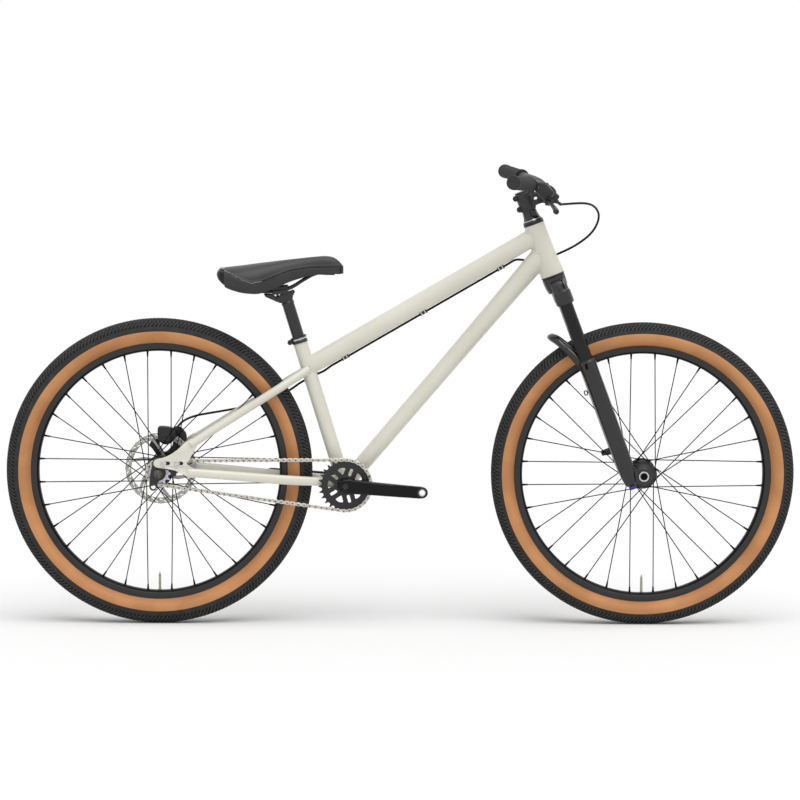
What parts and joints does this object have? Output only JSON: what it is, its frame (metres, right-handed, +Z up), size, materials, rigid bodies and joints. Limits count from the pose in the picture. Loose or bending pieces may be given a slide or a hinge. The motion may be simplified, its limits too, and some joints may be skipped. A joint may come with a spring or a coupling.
{
  "type": "dirt jump bike",
  "caption": "Hardtail dirt jump bike with a sliding-dropout frame, short-travel suspension fork, single-speed chain drive, rear disc brake and low saddle, shown without pedals.",
  "frame": {"origin": "on the ground midway between the two wheel axles, in the middle plane of the frame", "axes": "+X forward along the wheelbase, +Y to the rider's left, +Z up"},
  "size_m": [1.7495, 0.7574, 1.01],
  "materials": {
    "cream_paint": "satin",
    "black_anodised": "satin",
    "black_stanchion": "polished",
    "gloss_black": "gloss",
    "dark_grey": "satin",
    "saddle_skin": "matte",
    "saddle_plastic": "satin",
    "black_steel": "satin",
    "grip_rubber": "matte",
    "tan_tyre": "matte",
    "tube_rubber": "matte",
    "bare_steel": "satin",
    "violet_anodised": "polished",
    "hose_plastic": "satin"
  },
  "bodies": {
    "frame": {"head_tube": "cream_paint", "top_tube": "cream_paint", "down_tube": "cream_paint", "seat_tube": "cream_paint", "bb_shell": "cream_paint", "chainstay_left": "cream_paint", "chainstay_right": "cream_paint", "seatstay_left": "cream_paint", "seatstay_right": "cream_paint", "dropout_left": "cream_paint", "dropout_right": "cream_paint", "slider_left": "black_anodised", "slider_right": "black_anodised", "rear_axle": "bare_steel", "bb_cup_left": "black_anodised", "bb_cup_right": "black_anodised", "headset_lower_cup": "black_anodised", "headset_upper_cup": "black_anodised", "seat_collar": "gloss_black", "caliper": "black_anodised", "caliper_bracket": "black_anodised", "rear_hose": "hose_plastic", "chain": "bare_steel"},
    "steering": {"fork_crown": "gloss_black", "steerer_tube": "bare_steel", "stanchion_left": "black_stanchion", "stanchion_right": "black_stanchion", "headset_cover": "dark_grey", "stem": "dark_grey", "stem_faceplate": "dark_grey", "top_cap": "dark_grey", "handlebar": "black_anodised", "grip_left": "grip_rubber", "grip_right": "grip_rubber", "lever_body": "black_anodised", "front_hose": "hose_plastic"},
    "lowers": {"fork_lowers": "gloss_black", "rebound_knob": "violet_anodised", "front_axle": "bare_steel"},
    "front_wheel": {"front_tyre": "tan_tyre", "front_inner_tube": "tube_rubber", "front_rim": "black_anodised", "front_hub": "black_anodised"},
    "rear_wheel": {"rear_tyre": "tan_tyre", "rear_inner_tube": "tube_rubber", "rear_rim": "black_anodised", "rear_hub": "black_anodised", "rotor": "bare_steel"},
    "sprocket": {"cog": "bare_steel"},
    "crankset": {"spindle": "bare_steel", "crank_arm_left": "gloss_black", "crank_arm_right": "gloss_black", "chainring": "black_anodised"},
    "lever": {"lever_blade": "black_anodised"},
    "saddle_post": {"seatpost": "gloss_black", "saddle_clamp": "bare_steel", "saddle_rails": "black_steel", "saddle_shell": "saddle_plastic", "saddle_cover": "saddle_skin"}
  },
  "joints": [
    {"name": "steering", "type": "hinge", "parent": "frame", "child": "steering", "pos_m": [0.33452, 0, 0.77777], "axis": [-0.3486, 0, 0.9373], "range_deg": [-80, 80], "deforming": ["front_hose"]},
    {"name": "fork_slide", "type": "slide", "parent": "steering", "child": "lowers", "axis": [-0.3486, 0, 0.9373], "range_m": [0, 0.1], "stiffness_N_per_m": 6000, "springref_m": -0.02},
    {"name": "front_wheel_spin", "type": "hinge", "parent": "lowers", "child": "front_wheel", "pos_m": [0.5365, 0, 0.3365], "axis": [0, 1, 0], "continuous": true},
    {"name": "rear_wheel_spin", "type": "hinge", "parent": "frame", "child": "rear_wheel", "pos_m": [-0.5365, 0, 0.34], "axis": [0, 1, 0], "continuous": true},
    {"name": "crank_spin", "type": "hinge", "parent": "frame", "child": "crankset", "pos_m": [-0.12258, 0, 0.313], "axis": [0, 1, 0], "continuous": true, "deforming": ["chain"]},
    {"name": "sprocket_spin", "type": "hinge", "parent": "frame", "child": "sprocket", "pos_m": [-0.5365, 0, 0.34], "axis": [0, 1, 0], "continuous": true},
    {"name": "brake_lever", "type": "hinge", "parent": "steering", "child": "lever", "pos_m": [0.31673, -0.22, 0.94939], "axis": [-0.585, 0, -0.811], "range_deg": [0, 20], "stiffness_Nm_per_rad": 0.5, "springref_deg": -11.46},
    {"name": "seatpost_height", "type": "slide", "parent": "frame", "child": "saddle_post", "axis": [-0.2974, 0, 0.9548], "range_m": [-0.07, 0.09]}
  ],
  "couplings": [
    {"joint": "sprocket_spin", "follows": "crank_spin", "ratio": 2.1538}
  ]
}
